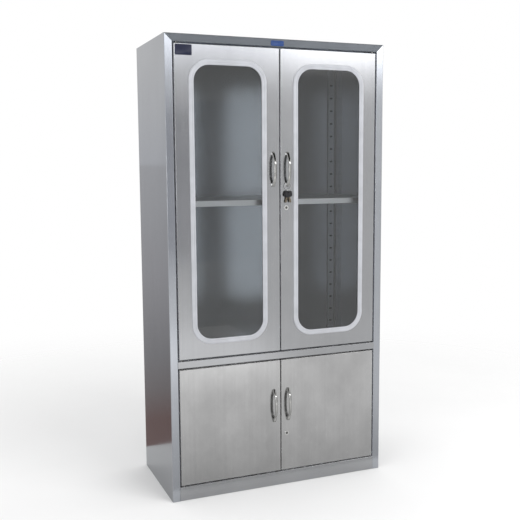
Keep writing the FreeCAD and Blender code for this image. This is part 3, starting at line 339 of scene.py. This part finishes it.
class Finish:
    """A node material with one shader, and short ways to add texture nodes to it."""

    def __init__(self, name):
        self.material = bpy.data.materials.new(name)
        self.material.use_nodes = True
        self.tree = self.material.node_tree
        self.tree.nodes.clear()
        self.shader = self.node("ShaderNodeBsdfPrincipled")
        self.output = self.node("ShaderNodeOutputMaterial")
        self.link(self.shader.outputs[0], self.output.inputs[0])
        self.place = self.node("ShaderNodeTexCoord").outputs["Object"]

    def node(self, kind, **settings):
        """Adds a node and sets its options."""
        made = self.tree.nodes.new(kind)
        for key, value in settings.items():
            setattr(made, key, value)
        return made

    def link(self, source, target):
        """Joins an output to an input."""
        self.tree.links.new(source, target)

    def set(self, **values):
        """Sets constants on the shader's own sockets, by socket name with underscores."""
        for key, value in values.items():
            self.shader.inputs[key.replace("_", " ")].default_value = value

    def noise(self, stretch, detail, rough=0.5):
        """Noise over the piece's own coordinates, stretched by three factors."""
        mapping = self.node("ShaderNodeMapping")
        mapping.inputs["Scale"].default_value = stretch
        self.link(self.place, mapping.inputs["Vector"])
        made = self.node("ShaderNodeTexNoise")
        made.inputs["Scale"].default_value = 1.0
        made.inputs["Detail"].default_value = detail
        made.inputs["Roughness"].default_value = rough
        self.link(mapping.outputs[0], made.inputs["Vector"])
        return made.outputs["Fac"]

    def even_noise(self, grain, detail):
        """Noise that is as fine along every axis."""
        return self.noise((grain, grain, grain), detail)

    def spread(self, source, low, high, start=0.3, end=0.7):
        """Maps a value that runs from start to end onto low to high."""
        made = self.node("ShaderNodeMapRange", interpolation_type="SMOOTHSTEP")
        for key, value in (("From Min", start), ("From Max", end), ("To Min", low), ("To Max", high)):
            made.inputs[key].default_value = value
        self.link(source, made.inputs["Value"])
        return made.outputs[0]

    def vary(self, source, amount):
        """A tone that a value moves by an amount to either side of one."""
        return self.spread(source, 1.0 - amount, 1.0 + amount)

    def within(self, axis, start, end):
        """One where the piece lies from start to end along an axis, on either side for X, else nought."""
        parts = self.node("ShaderNodeSeparateXYZ")
        self.link(self.place, parts.inputs[0])
        place = parts.outputs[axis]
        if axis == "X":
            side = self.node("ShaderNodeMath", operation="ABSOLUTE")
            self.link(place, side.inputs[0])
            place = side.outputs[0]
        made = self.node("ShaderNodeMath", operation="COMPARE")
        self.link(place, made.inputs[0])
        made.inputs[1].default_value = (start + end) / 2
        made.inputs[2].default_value = (end - start) / 2
        return made.outputs[0]

    def times(self, first, second):
        """The product of two values."""
        made = self.node("ShaderNodeMath", operation="MULTIPLY")
        self.link(first, made.inputs[0])
        self.link(second, made.inputs[1])
        return made.outputs[0]

    def tint(self, base, tone):
        """A colour made lighter and darker by a tone value."""
        made = self.node("ShaderNodeVectorMath", operation="SCALE")
        made.inputs[0].default_value = base[:3]
        self.link(tone, made.inputs["Scale"])
        self.link(made.outputs[0], self.shader.inputs["Base Color"])

    def rough(self, source):
        """Drives the roughness by a value."""
        self.link(source, self.shader.inputs["Roughness"])

    def bump(self, source, distance):
        """Raises the surface by a value."""
        made = self.node("ShaderNodeBump")
        made.inputs["Distance"].default_value = distance
        made.inputs["Strength"].default_value = 1.0
        self.link(source, made.inputs["Height"])
        self.link(made.outputs[0], self.shader.inputs["Normal"])

    def clear(self, surface, amount):
        """Shows a surface that a value makes clear, from not at all to wholly."""
        mix = self.node("ShaderNodeMixShader")
        self.link(amount, mix.inputs[0])
        self.link(surface, mix.inputs[1])
        self.link(self.node("ShaderNodeBsdfTransparent").outputs[0], mix.inputs[2])
        self.link(mix.outputs[0], self.output.inputs[0])


def grain_stretch(axis, along, across):
    """Texture stretch for a grain that runs along one axis."""
    stretch = [across, across, across]
    stretch[axis] = along
    return stretch


def brushed_steel(name, finish, base, roughness, patches=()):
    """Stainless sheet brushed along an axis, with handled smudges.

    A patch of (bounds, tone, roughness) is a part of the sheet within some bounds, each an axis with
    its start and end, that is lighter or darker and has its own roughness.
    """
    axis, smudge = BRUSHING[name]
    made = Finish(name)
    made.set(Metallic=1.0)
    fine = made.noise(grain_stretch(axis, *FINE_GRAIN), detail=3.0)
    bands = made.noise(grain_stretch(axis, *BAND_GRAIN), detail=3.0, rough=0.6)
    clouds = made.noise(CLOUD_STRETCH, detail=4.0, rough=0.55)
    wipes = made.noise(WIPE_STRETCH, detail=5.0, rough=0.62)
    streak = finish.streak
    cloud = finish.smudge * smudge
    tone = made.vary(fine, streak)
    for source, amount in ((bands, streak), (clouds, cloud), (wipes, cloud / 2)):
        tone = made.times(tone, made.vary(source, amount))
    rough = made.spread(wipes, *(roughness * part for part in WIPE_SHARES))
    for bounds, patch_tone, patch_roughness in patches:
        inside = made.within(*bounds[0])
        for bound in bounds[1:]:
            inside = made.times(inside, made.within(*bound))
        tone = made.times(tone, made.spread(inside, 1.0, patch_tone, 0.0, 1.0))
        rough = made.times(rough, made.spread(inside, 1.0, patch_roughness / roughness, 0.0, 1.0))
    made.tint(base, tone)
    made.rough(rough)
    made.bump(bands, BAND_DEPTH)
    return made.material


def lit_edge_patch(finish, base):
    """The ground edges of a front sheet, which face the gaps round the doors, rougher and lightened with
    painted light.
    """
    return (DOOR_EDGE,), finish.gap_painted_light / base[1], finish.edge_roughness


def bright_metal(name, base):
    """Plated or polished metal with faint handling marks."""
    made = Finish(name)
    made.set(Metallic=1.0)
    marks = made.even_noise(MARK_GRAIN, detail=4.0)
    haze = made.even_noise(HAZE_GRAIN, detail=3.0)
    made.tint(base, made.spread(marks, *MARK_TONES))
    made.rough(made.spread(haze, *(POLISH[name] * part for part in HAZE_SHARES)))
    return made.material


def moulded(name, base):
    """Rubber or plastic with a fine moulded skin."""
    roughness, grain, depth = MOULDING[name]
    made = Finish(name)
    pores = made.even_noise(grain, detail=3.0)
    dust = made.even_noise(DUST_GRAIN, detail=4.0)
    made.tint(base, made.spread(dust, *DUST_TONES))
    made.rough(made.spread(pores, *(roughness * part for part in PORE_SHARES)))
    made.bump(pores, depth)
    return made.material


def window_glass(name, base):
    """Clear float glass with a faint film of dust."""
    made = Finish(name)
    made.set(IOR=GLASS_IOR, Transmission_Weight=1.0)
    film = made.noise(FILM_STRETCH, detail=4.0)
    made.tint(base, made.spread(film, *FILM_TONES))
    made.rough(made.spread(film, *FILM_ROUGHNESS))
    return made.material


def painted_plate(name, base):
    """Lacquered plate with fine speckle and a clear coat."""
    made = Finish(name)
    speckle = made.even_noise(SPECKLE_GRAIN, detail=2.0)
    wear = made.even_noise(WEAR_GRAIN, detail=4.0)
    made.tint(base, made.spread(wear, *WEAR_TONES))
    made.rough(made.spread(speckle, *SPECKLE_ROUGHNESS))
    made.set(Specular_IOR_Level=0.3, Coat_Weight=0.1, Coat_Roughness=0.2)
    return made.material


def dress(material, *names):
    """Gives CAD nodes a material."""
    for name in names:
        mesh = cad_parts[name].data
        mesh.materials.clear()
        mesh.materials.append(material)


def new_object(name, mesh):
    """An object in the scene from a built mesh, which is then freed."""
    data = bpy.data.meshes.new(name)
    mesh.to_mesh(data)
    mesh.free()
    made = bpy.data.objects.new(name, data)
    bpy.context.scene.collection.objects.link(made)
    return made


def skin(name, rings, wrap=False):
    """A closed mesh over rings of points, which go on round or end in a cap."""
    mesh = bmesh.new()
    loops = [[mesh.verts.new(point) for point in ring] for ring in rings]
    following = loops[1:] + loops[:1] if wrap else loops[1:]
    for lower, upper in zip(loops, following):
        for here in range(len(lower)):
            after = (here + 1) % len(lower)
            mesh.faces.new((lower[here], lower[after], upper[after], upper[here]))
    if not wrap:
        mesh.faces.new(loops[0][::-1])
        mesh.faces.new(loops[-1])
    bmesh.ops.recalc_face_normals(mesh, faces=mesh.faces)
    for face in mesh.faces:
        face.smooth = True
    piece = new_object(name, mesh)
    piece.data.set_sharp_from_angle(angle=SHARP_ANGLE)
    return piece


def rounded_outline(width, height, radius):
    """Corner points of a rounded rectangle about the origin."""
    points = []
    for turn, (x_side, y_side) in enumerate(((1, 1), (-1, 1), (-1, -1), (1, -1))):
        middle = (x_side * (width / 2 - radius), y_side * (height / 2 - radius))
        for step in range(CORNER_STEPS + 1):
            angle = (turn + step / CORNER_STEPS) * math.pi / 2
            points.append((middle[0] + radius * math.cos(angle), middle[1] + radius * math.sin(angle)))
    return points


def plate_mesh(name, width, height, thickness, corner, border):
    """A thin plate facing the front, with a raised border round a sunk field."""
    rings = (
        (0.0, 0.0),
        (0.0, thickness * WALL_SHARE),
        (thickness * RIM_SHARE, thickness),
        (border, thickness),
        (border + thickness * FIELD_SLOPE_SHARE, thickness * FIELD_SHARE),
    )
    outlines = []
    for inset, rise in rings:
        radius = max(corner - inset, corner * INNER_CORNER_SHARE)
        outline = rounded_outline(width - 2 * inset, height - 2 * inset, radius)
        outlines.append([(x, -rise, z) for x, z in outline])
    return skin(name, outlines)


def gasket_mesh(door, sizes):
    """A domed glazing gasket that holds the door's sheet on one side and the pane on the other."""
    low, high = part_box(door + "_gasket")
    pane_low, pane_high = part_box(door + "_glass")
    width = sizes.gasket_width
    sheet_seat, pane_seat = (width - sizes.gasket_web) / 2, (width + sizes.gasket_web) / 2
    sheet_back = FRONT + sizes.door_sheet
    chamfer = high.y - pane_high.y
    profile = [(inset * width, FRONT + rise * (low.y - FRONT)) for inset, rise in LIP_SHARES]
    profile += [(width, pane_low.y), (pane_seat, pane_low.y), (pane_seat, pane_high.y), (width, pane_high.y)]
    profile += [(width - chamfer, high.y), (chamfer, high.y), (0.0, pane_high.y)]
    profile += [(0.0, sheet_back), (sheet_seat, sheet_back), (sheet_seat, FRONT)]
    radius = sizes.gasket_corner
    rings = []
    for turn, (x, z) in enumerate(((high.x, high.z), (low.x, high.z), (low.x, low.z), (high.x, low.z))):
        middle_x = x + radius * (1 if x == low.x else -1)
        middle_z = z + radius * (1 if z == low.z else -1)
        for step in range(GASKET_STEPS + 1):
            angle = (turn + step / GASKET_STEPS) * math.pi / 2
            reach = Vector((math.cos(angle), math.sin(angle)))
            rings.append([
                (middle_x + reach.x * (radius - inset), level, middle_z + reach.y * (radius - inset))
                for inset, level in profile
            ])
    return skin(door + "_window_seal", rings, wrap=True)


def eased(points):
    """A line of points with each inner corner rounded."""
    line = [points[0]]
    for before, corner, after in zip(points, points[1:], points[2:]):
        start = corner.lerp(before, BEND_SHARE)
        end = corner.lerp(after, BEND_SHARE)
        for step in range(BEND_STEPS + 1):
            way = step / BEND_STEPS
            line.append(start.lerp(corner, way).lerp(corner.lerp(end, way), way))
    line.append(points[-1])
    return line


def handle_mesh(door, sizes):
    """A bow handle from foot to foot, of flat oblong section at its feet and oval at its bar."""
    low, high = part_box(door + "_handle")
    middle = (low + high) / 2
    half, reach = (high.z - low.z) / 2, high.y - low.y
    outer = [(0.0, half), (sizes.handle_stub, half), (reach, sizes.handle_bar / 2)]
    inner = [(0.0, half - sizes.handle_foot), (sizes.handle_stub, half - sizes.handle_foot)]
    inner.append((reach - sizes.handle_thickness, sizes.handle_grip / 2))
    lines = []
    for line in (outer, inner):
        whole = line + [(out, -along) for out, along in reversed(line)]
        lines.append(eased([Vector((middle.x, high.y - out, middle.z + along)) for out, along in whole]))
    wide = Vector((sizes.handle_width / 2, 0.0, 0.0))
    rings = []
    for outside, inside in zip(*lines):
        heart = (outside + inside) / 2
        thick = (outside - inside) / 2
        power = FOOT_POWER + (BAR_POWER - FOOT_POWER) * ((high.y - heart.y) / reach) ** 2
        ring = []
        for step in range(SECTION_STEPS):
            angle = step / SECTION_STEPS * 2 * math.pi
            across, over = (
                math.copysign(abs(part) ** power, part) for part in (math.cos(angle), math.sin(angle)))
            ring.append(heart + wide * across + thick * over)
        rings.append(ring)
    return skin(door + "_bow_handle", rings)


class CabinetPiece:
    """What every cabinet operator shares."""

    bl_options = {"REGISTER", "UNDO"}


class CABINET_OT_carcass(CabinetPiece, bpy.types.Operator):
    """Brush the side panels, top, decks and back"""

    bl_idname = "cabinet.carcass"
    bl_label = "Carcass"

    def execute(self, context):
        sizes, finish = context.scene.cabinet_sizes, context.scene.cabinet_finish
        self.sides(sizes, finish)
        self.top_and_decks(finish)
        self.back(sizes, finish)
        return {"FINISHED"}

    def sides(self, sizes, finish):
        """Polished side panels with brushed stiles, and ground returns lightened with painted light."""
        base = finish.side_steel
        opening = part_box("right_side_panel")[1].x - sizes.stile_width
        returns = ("X", opening - FACE_DEPTH, opening + FACE_DEPTH)
        patches = (
            ((FRONT_FACE,), finish.stile_tone / base[1], finish.steel_roughness),
            # Painted light: the door edges and returns that face the gaps are lightened.
            ((DOOR_EDGE, returns), finish.gap_painted_light / base[1], finish.edge_roughness),
        )
        sheet = brushed_steel("steel_sides", finish, base, finish.side_roughness, patches)
        dress(sheet, "left_side_panel", "right_side_panel")

    def top_and_decks(self, finish):
        """The top with its dull front rail, darkened by painted shade, and the decks with theirs; the edges
        that face the gaps carry painted light.
        """
        base, rough = finish.lining_steel, finish.steel_roughness
        # Painted shade darkens the top rail's front in place of its cross-brushed reflection; painted light
        # lightens its edges that face the gaps.
        patches = (((FRONT_FACE,), finish.rail_painted_shade, finish.rail_roughness), lit_edge_patch(finish, base))
        dress(brushed_steel("steel_top", finish, base, rough, patches), "top_panel")
        # Painted light lightens the deck edges that face the gaps.
        patches = (lit_edge_patch(finish, finish.steel),)
        rails = brushed_steel("steel_rails", finish, finish.steel, rough, patches)
        dress(rails, "middle_deck", "bottom_deck")

    def back(self, sizes, finish):
        """The back panel, darkened with painted shade where the rear standards' slots show it."""
        low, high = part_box("rear_right_standard")
        behind = ("Y", high.y - sizes.standard_sheet / 2, high.y + sizes.standard_sheet / 2)
        # Painted shade: the back panel behind the rear standards is near black, so their slots show dark.
        strip = (("X", low.x, high.x), ("Z", low.z, high.z), behind)
        painted_shade = ((strip, finish.slot_painted_shade, finish.painted_shade_roughness),)
        lining = brushed_steel(
            "steel_lining", finish, finish.lining_steel, finish.lining_roughness, painted_shade)
        dress(lining, "back_panel")


class CABINET_OT_shelving(CabinetPiece, bpy.types.Operator):
    """Finish the shelf, its clips and the slotted standards"""

    bl_idname = "cabinet.shelving"
    bl_label = "Shelving"

    def execute(self, context):
        sizes, finish = context.scene.cabinet_sizes, context.scene.cabinet_finish
        board = brushed_steel("steel_shelf", finish, finish.plain_steel, finish.shelf_roughness)
        dress(board, "shelf", "shelf_stiffener")
        low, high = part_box("rear_right_standard")
        inside = ("Y", low.y + sizes.standard_sheet / 2, high.y)
        # Painted shade: the inside of each standard is near black, so its slots show dark.
        painted_shade = (((inside,), finish.slot_painted_shade, finish.painted_shade_roughness),)
        upright = brushed_steel(
            "steel_standards", finish, finish.lining_steel, finish.standard_roughness, painted_shade)
        dress(upright, *(corner + "_standard" for corner in CORNERS))
        dress(bright_metal("plated_clips", finish.clip_plating), "shelf_clips")
        return {"FINISHED"}


class CABINET_OT_doors(CabinetPiece, bpy.types.Operator):
    """Brush the door pans and their stiffeners"""

    bl_idname = "cabinet.doors"
    bl_label = "Doors"

    def execute(self, context):
        finish = context.scene.cabinet_finish
        rough = finish.steel_roughness
        # Painted light: the door edges that face the gaps are lightened.
        edges = (lit_edge_patch(finish, finish.steel),)
        glazed = brushed_steel("steel_glazed_doors", finish, finish.steel, rough, edges)
        dress(glazed, *(door + "_door_pan" for door in GLAZED_DOORS))
        edges = (lit_edge_patch(finish, finish.plain_steel),)
        plain = brushed_steel("steel_plain_doors", finish, finish.plain_steel, rough, edges)
        for door in PLAIN_DOORS:
            dress(plain, door + "_door_pan", door + "_stiffener")
        return {"FINISHED"}


class CABINET_OT_windows(CabinetPiece, bpy.types.Operator):
    """Finish the light rubber gaskets and the panes"""

    bl_idname = "cabinet.windows"
    bl_label = "Windows"

    def execute(self, context):
        sizes, finish = context.scene.cabinet_sizes, context.scene.cabinet_finish
        rubber = moulded("light_rubber", finish.gasket)
        for door in GLAZED_DOORS:
            seal = gasket_mesh(door, sizes)
            seal.data.materials.append(rubber)
            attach(seal, door + "_door")
            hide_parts(door + "_gasket")
            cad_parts[door + "_glass"].visible_shadow = False
        dress(window_glass("window_glass", finish.glass), *(door + "_glass" for door in GLAZED_DOORS))
        return {"FINISHED"}


class CABINET_OT_handles(CabinetPiece, bpy.types.Operator):
    """Plate the bow handles and their screws"""

    bl_idname = "cabinet.handles"
    bl_label = "Handles"

    def execute(self, context):
        sizes, finish = context.scene.cabinet_sizes, context.scene.cabinet_finish
        chrome = bright_metal("handle_chrome", finish.chrome)
        for door in DOORS:
            bow = handle_mesh(door, sizes)
            bow.data.materials.append(chrome)
            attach(bow, door + "_door")
            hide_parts(door + "_handle")
        screws = bright_metal("screw_steel", finish.screw_steel)
        dress(screws, *(door + "_handle_screws" for door in DOORS))
        return {"FINISHED"}


class CABINET_OT_locks(CabinetPiece, bpy.types.Operator):
    """Plate the cylinder locks and their cams"""

    bl_idname = "cabinet.locks"
    bl_label = "Locks"

    def execute(self, context):
        finish = context.scene.cabinet_finish
        housing = bright_metal("lock_chrome", finish.lock_housing)
        plug = bright_metal("plug_metal", finish.lock_plug)
        plated = bright_metal("plated_steel", finish.lock_plating)
        for level in LEVELS:
            dress(housing, level + "_lock_housing")
            dress(plug, level + "_lock_plug")
            dress(plated, level + "_lock_nut", level + "_lock_cam", level + "_cam_screw")
        return {"FINISHED"}


class CABINET_OT_keys(CabinetPiece, bpy.types.Operator):
    """Finish the keys and their ring"""

    bl_idname = "cabinet.keys"
    bl_label = "Keys"

    def execute(self, context):
        finish = context.scene.cabinet_finish
        dress(moulded("key_head_plastic", finish.key_plastic), "key_heads")
        dress(bright_metal("key_blade_metal", finish.key_metal), "key_blades")
        dress(bright_metal("key_ring_wire", finish.key_wire), "key_ring")
        return {"FINISHED"}


class CABINET_OT_fittings(CabinetPiece, bpy.types.Operator):
    """Finish the hinge pins, bushes, buffers and sliding bolts"""

    bl_idname = "cabinet.fittings"
    bl_label = "Hinges and bolts"

    def execute(self, context):
        finish = context.scene.cabinet_finish
        bushes = moulded("bush_nylon", finish.bush_nylon)
        dress(bushes, *(door + "_pivot_bushes" for door in DOORS))
        dress(moulded("buffer_rubber", finish.buffer_rubber), "door_buffers")
        dress(bright_metal("bolt_steel", finish.bolt_steel), "hinge_pins", *BOLTS, *BOLT_GUIDES)
        return {"FINISHED"}


class CABINET_OT_plates(CabinetPiece, bpy.types.Operator):
    """Fix the blank plate to the door and the blank badge to the top rail"""

    bl_idname = "cabinet.plates"
    bl_label = "Plates"

    def execute(self, context):
        sizes, finish = context.scene.cabinet_sizes, context.scene.cabinet_finish
        door_low, door_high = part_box("upper_left_door_pan")
        plate = plate_mesh(
            "door_plate", sizes.plate_width, sizes.plate_height, sizes.plate_thickness,
            sizes.plate_corner, sizes.plate_border)
        plate.location = (
            door_low.x + sizes.plate_inset + sizes.plate_width / 2,
            door_low.y,
            door_high.z - sizes.plate_drop - sizes.plate_height / 2,
        )
        plate.data.materials.append(painted_plate("plate_lacquer", finish.plate))
        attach(plate, "upper_left_door")
        top_low, top_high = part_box("top_panel")
        badge = plate_mesh(
            "rail_badge", sizes.badge_width, sizes.badge_height, sizes.badge_thickness,
            sizes.badge_corner, sizes.badge_border)
        rail_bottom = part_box("upper_left_door_pan")[1].z
        badge.location = (sizes.badge_shift, top_low.y, (rail_bottom + top_high.z) / 2)
        badge.data.materials.append(painted_plate("badge_lacquer", finish.badge))
        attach(badge, "carcass")
        return {"FINISHED"}


class CABINET_OT_studio(CabinetPiece, bpy.types.Operator):
    """Lay the floor, set the light and place the camera"""

    bl_idname = "cabinet.studio"
    bl_label = "Studio"

    def execute(self, context):
        studio = context.scene.cabinet_studio
        self.floor(studio)
        self.surround(studio)
        for lamp in LAMPS:
            self.lamp(*lamp)
        for card in CARDS:
            self.card(*card)
        self.camera(studio)
        context.scene.view_settings.view_transform = "Standard"
        return {"FINISHED"}

    def floor(self, studio):
        """A wide pale floor with a faint mottle, which fades into the surround."""
        mesh = bmesh.new()
        bmesh.ops.create_grid(mesh, x_segments=FLOOR_CELLS, y_segments=FLOOR_CELLS, size=FLOOR_HALF)
        made = new_object("studio_floor", mesh)
        made.location.z = FLOOR_LEVEL - FLOOR_DROP
        paint = Finish("floor_paint")
        mottle = paint.even_noise(MOTTLE_GRAIN, detail=3.0)
        paint.tint(studio.floor, paint.spread(mottle, *MOTTLE_TONES))
        paint.set(Roughness=FLOOR_ROUGHNESS, Specular_IOR_Level=0.0)
        far = paint.node("ShaderNodeVectorMath", operation="LENGTH")
        paint.link(paint.place, far.inputs[0])
        reach = studio.floor_reach
        faded = paint.spread(far.outputs["Value"], 0.0, 1.0, reach * FADE_SHARE, reach)
        paint.clear(paint.shader.outputs[0], faded)
        made.data.materials.append(paint.material)

    def surround(self, studio):
        """White for what the camera, metal and glass see, and an even fill for the rest."""
        world = bpy.data.worlds.new("studio_surround")
        world.use_nodes = True
        tree = world.node_tree
        tree.nodes.clear()
        output = tree.nodes.new("ShaderNodeOutputWorld")
        fill = tree.nodes.new("ShaderNodeBackground")
        white = tree.nodes.new("ShaderNodeBackground")
        mix = tree.nodes.new("ShaderNodeMixShader")
        path = tree.nodes.new("ShaderNodeLightPath")
        seen = path.outputs["Is Camera Ray"]
        for kind in ("Is Glossy Ray", "Is Transmission Ray"):
            either = tree.nodes.new("ShaderNodeMath")
            either.operation = "MAXIMUM"
            tree.links.new(seen, either.inputs[0])
            tree.links.new(path.outputs[kind], either.inputs[1])
            seen = either.outputs[0]
        fill.inputs["Strength"].default_value = studio.fill
        white.inputs["Strength"].default_value = 1.0
        for source in (fill, white):
            source.inputs["Color"].default_value = (1.0, 1.0, 1.0, 1.0)
        tree.links.new(seen, mix.inputs[0])
        tree.links.new(fill.outputs[0], mix.inputs[1])
        tree.links.new(white.outputs[0], mix.inputs[2])
        tree.links.new(mix.outputs[0], output.inputs[0])
        bpy.context.scene.world = world

    def lamp(self, name, place, aim, size, power):
        """A soft box that lights what is dull, and that metal and glass don't show."""
        lamp = bpy.data.lights.new(name, "AREA")
        lamp.shape = "RECTANGLE"
        lamp.size, lamp.size_y = size
        lamp.energy = power
        made = bpy.data.objects.new(name, lamp)
        made.location = place
        made.rotation_euler = (Vector(aim) - Vector(place)).to_track_quat("-Z", "Y").to_euler()
        made.visible_glossy = False
        made.visible_transmission = False
        bpy.context.scene.collection.objects.link(made)

    def card(self, name, corner, across, onward, tones):
        """A card that only metal and glass mirror, as a studio sets beside polished steel.

        It lies from a corner, across by one vector and onward by another, and its tone changes onward.
        Only its front is there, the side that its across and onward vectors turn round to the left.
        """
        across, onward = Vector(across), Vector(onward)
        mesh = bmesh.new()
        places = (Vector((0.0, 0.0, 0.0)), across, across + onward, onward)
        mesh.faces.new([mesh.verts.new(place) for place in places])
        made = new_object(name, mesh)
        made.location = corner
        made.location.z += FLOOR_LEVEL
        paper = Finish(name + "_paper")
        along = paper.node("ShaderNodeVectorMath", operation="DOT_PRODUCT")
        paper.link(paper.place, along.inputs[0])
        along.inputs[1].default_value = onward / onward.length_squared
        ramp = paper.node("ShaderNodeValToRGB")
        paper.link(along.outputs["Value"], ramp.inputs[0])
        ramp.color_ramp.elements[0].color = (*tones[0][1], 1.0)
        ramp.color_ramp.elements[1].color = (*tones[-1][1], 1.0)
        for part, tone in tones[1:-1]:
            ramp.color_ramp.elements.new(part).color = (*tone, 1.0)
        glow = paper.node("ShaderNodeEmission")
        paper.link(ramp.outputs[0], glow.inputs[0])
        paper.clear(glow.outputs[0], paper.node("ShaderNodeNewGeometry").outputs["Backfacing"])
        paper.material.cycles.emission_sampling = "NONE"
        made.data.materials.append(paper.material)
        made.visible_camera = False
        made.visible_diffuse = False
        made.visible_transmission = False
        made.visible_shadow = False

    def camera(self, studio):
        """The camera at the photograph's angle."""
        yaw, pitch, roll = studio.camera_yaw, studio.camera_pitch, studio.camera_roll
        ahead = Vector((math.sin(yaw) * math.cos(pitch), math.cos(yaw) * math.cos(pitch), -math.sin(pitch)))
        right = Vector((math.cos(yaw), -math.sin(yaw), 0.0))
        up = right.cross(ahead)
        across = right * math.cos(roll) + up * math.sin(roll)
        upward = up * math.cos(roll) - right * math.sin(roll)
        data = bpy.data.cameras.new("studio_camera")
        data.lens = studio.camera_lens
        data.sensor_width = SENSOR_WIDTH
        made = bpy.data.objects.new("studio_camera", data)
        turn = Matrix((across, upward, -ahead)).transposed().to_4x4()
        made.matrix_world = Matrix.Translation(Vector(studio.camera_place)) @ turn
        bpy.context.scene.collection.objects.link(made)
        bpy.context.scene.camera = made


OPERATORS = (
    CABINET_OT_carcass,
    CABINET_OT_shelving,
    CABINET_OT_doors,
    CABINET_OT_windows,
    CABINET_OT_handles,
    CABINET_OT_locks,
    CABINET_OT_keys,
    CABINET_OT_fittings,
    CABINET_OT_plates,
    CABINET_OT_studio,
)
GROUPS = {
    "cabinet_sizes": CabinetSizes,
    "cabinet_finish": CabinetFinish,
    "cabinet_studio": CabinetStudio,
}


class CABINET_PT_pieces(bpy.types.Panel):
    """Lists the cabinet's options and pieces"""

    bl_idname = "CABINET_PT_pieces"
    bl_label = "Instrument cabinet"
    bl_space_type = "VIEW_3D"
    bl_region_type = "UI"
    bl_category = "Cabinet"

    def draw(self, context):
        column = self.layout.column()
        for name, group in GROUPS.items():
            for key in group.__annotations__:
                column.prop(getattr(context.scene, name), key)
        for operator in OPERATORS:
            column.operator(operator.bl_idname)


def register():
    """Adds the property groups, operators and panel."""
    for name, group in GROUPS.items():
        bpy.utils.register_class(group)
        setattr(bpy.types.Scene, name, PointerProperty(type=group))
    for kind in (*OPERATORS, CABINET_PT_pieces):
        bpy.utils.register_class(kind)


def unregister():
    """Takes the panel, operators and property groups away."""
    for kind in (CABINET_PT_pieces, *reversed(OPERATORS)):
        bpy.utils.unregister_class(kind)
    for name, group in GROUPS.items():
        delattr(bpy.types.Scene, name)
        bpy.utils.unregister_class(group)


def main():
    """Builds every piece in order."""
    register()
    for operator in OPERATORS:
        group, name = operator.bl_idname.split(".")
        getattr(getattr(bpy.ops, group), name)()


if __name__ == "__main__":
    main()
